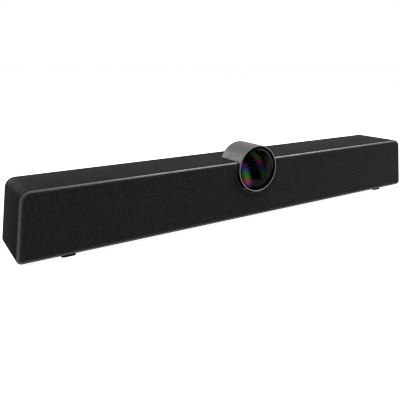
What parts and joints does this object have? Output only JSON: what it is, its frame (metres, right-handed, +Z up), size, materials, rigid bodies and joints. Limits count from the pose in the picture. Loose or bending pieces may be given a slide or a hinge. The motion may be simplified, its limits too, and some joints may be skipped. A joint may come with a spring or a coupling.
{
  "type": "conference camera",
  "caption": "Long low video bar with a perforated front, a wide-angle camera barrel sunk into its top edge, speaker drivers behind the grille and a socket bay at the rear.",
  "frame": {"origin": "centre of the footprint, on the surface the bar stands on", "axes": "+X along the bar to the right seen from the front, +Y from the front to the back, +Z up"},
  "size_m": [0.599, 0.0764, 0.0945],
  "materials": {
    "housing_black": "fine satin texture",
    "rear_black": "fine matte texture",
    "inner_black": "matte moulded",
    "grille_black": "satin powder coat on perforated sheet",
    "dust_cloth": "fine woven",
    "barrel_grey": "satin anodised",
    "ring_metal": "turned, satin",
    "window_glass": "coated, polished",
    "lens_black": "black anodised",
    "lens_glass": "coated, polished",
    "circuit_board": "solder mask",
    "chip": "moulded package",
    "cast_metal": "cast",
    "ribbon": "flat cable film",
    "sink_metal": "extruded",
    "tinned_steel": "tinned",
    "button_black": "satin",
    "foot_rubber": "matte",
    "screw_steel": "zinc plated",
    "insert_brass": "turned",
    "basket_steel": "painted pressing",
    "magnet_steel": "plated steel and ferrite",
    "coil_copper": "enamelled copper winding",
    "cone_paper": "pressed paper pulp",
    "surround_rubber": "matte",
    "spider_cloth": "impregnated weave",
    "lead_sheath": "PVC"
  },
  "bodies": {
    "bar": {"housing": "housing_black", "rear_cover": "rear_black", "front_baffle": "inner_black", "grille": "grille_black", "grille_cloth": "dust_cloth", "camera_barrel": "barrel_grey", "barrel_cap": "barrel_grey", "lens_ring": "ring_metal", "lens_window": "window_glass", "lens_hood": "inner_black", "lens_tube": "lens_black", "front_lens": "lens_glass", "lens_holder": "inner_black", "sensor_board": "circuit_board", "image_sensor": "chip", "camera_cradle": "cast_metal", "camera_ribbon": "ribbon", "main_board": "circuit_board", "processor": "chip", "heat_sink": "sink_metal", "wireless_shield": "tinned_steel", "power_socket": "inner_black", "usb_socket": "tinned_steel", "video_socket": "tinned_steel", "audio_socket": "inner_black", "button_switches": "inner_black", "microphone_board_left": "circuit_board", "microphone_board_right": "circuit_board", "microphones": "tinned_steel", "microphone_ribbon_left": "ribbon", "microphone_ribbon_right": "ribbon", "speaker_basket_left": "basket_steel", "speaker_basket_right": "basket_steel", "speaker_magnet_left": "magnet_steel", "speaker_magnet_right": "magnet_steel", "surround_left": "surround_rubber", "surround_right": "surround_rubber", "spider_left": "spider_cloth", "spider_right": "spider_cloth", "speaker_box_left": "inner_black", "speaker_box_right": "inner_black", "speaker_lead_left": "lead_sheath", "speaker_lead_right": "lead_sheath", "feet": "foot_rubber", "cover_screws": "screw_steel", "baffle_screws": "screw_steel", "inner_screws": "screw_steel", "speaker_screws": "screw_steel", "bracket_inserts": "insert_brass", "stand_insert": "insert_brass"},
    "left_cone": {"speaker_cone_left": "cone_paper", "dust_cap_left": "cone_paper", "voice_coil_left": "coil_copper"},
    "right_cone": {"speaker_cone_right": "cone_paper", "dust_cap_right": "cone_paper", "voice_coil_right": "coil_copper"},
    "power_key": {"power_button": "button_black"},
    "pairing_key": {"pairing_button": "button_black"}
  },
  "joints": [
    {"name": "left_cone_travel", "type": "slide", "parent": "bar", "child": "left_cone", "axis": [0, -1, 0], "range_m": [-0.002, 0.002], "stiffness_N_per_m": 1200, "deforming": ["surround_left", "spider_left"]},
    {"name": "right_cone_travel", "type": "slide", "parent": "bar", "child": "right_cone", "axis": [0, -1, 0], "range_m": [-0.002, 0.002], "stiffness_N_per_m": 1200, "deforming": ["surround_right", "spider_right"]},
    {"name": "power_key_press", "type": "slide", "parent": "bar", "child": "power_key", "axis": [0, -1, 0], "range_m": [0, 0.0006], "stiffness_N_per_m": 400},
    {"name": "pairing_key_press", "type": "slide", "parent": "bar", "child": "pairing_key", "axis": [0, -1, 0], "range_m": [0, 0.0006], "stiffness_N_per_m": 400}
  ]
}
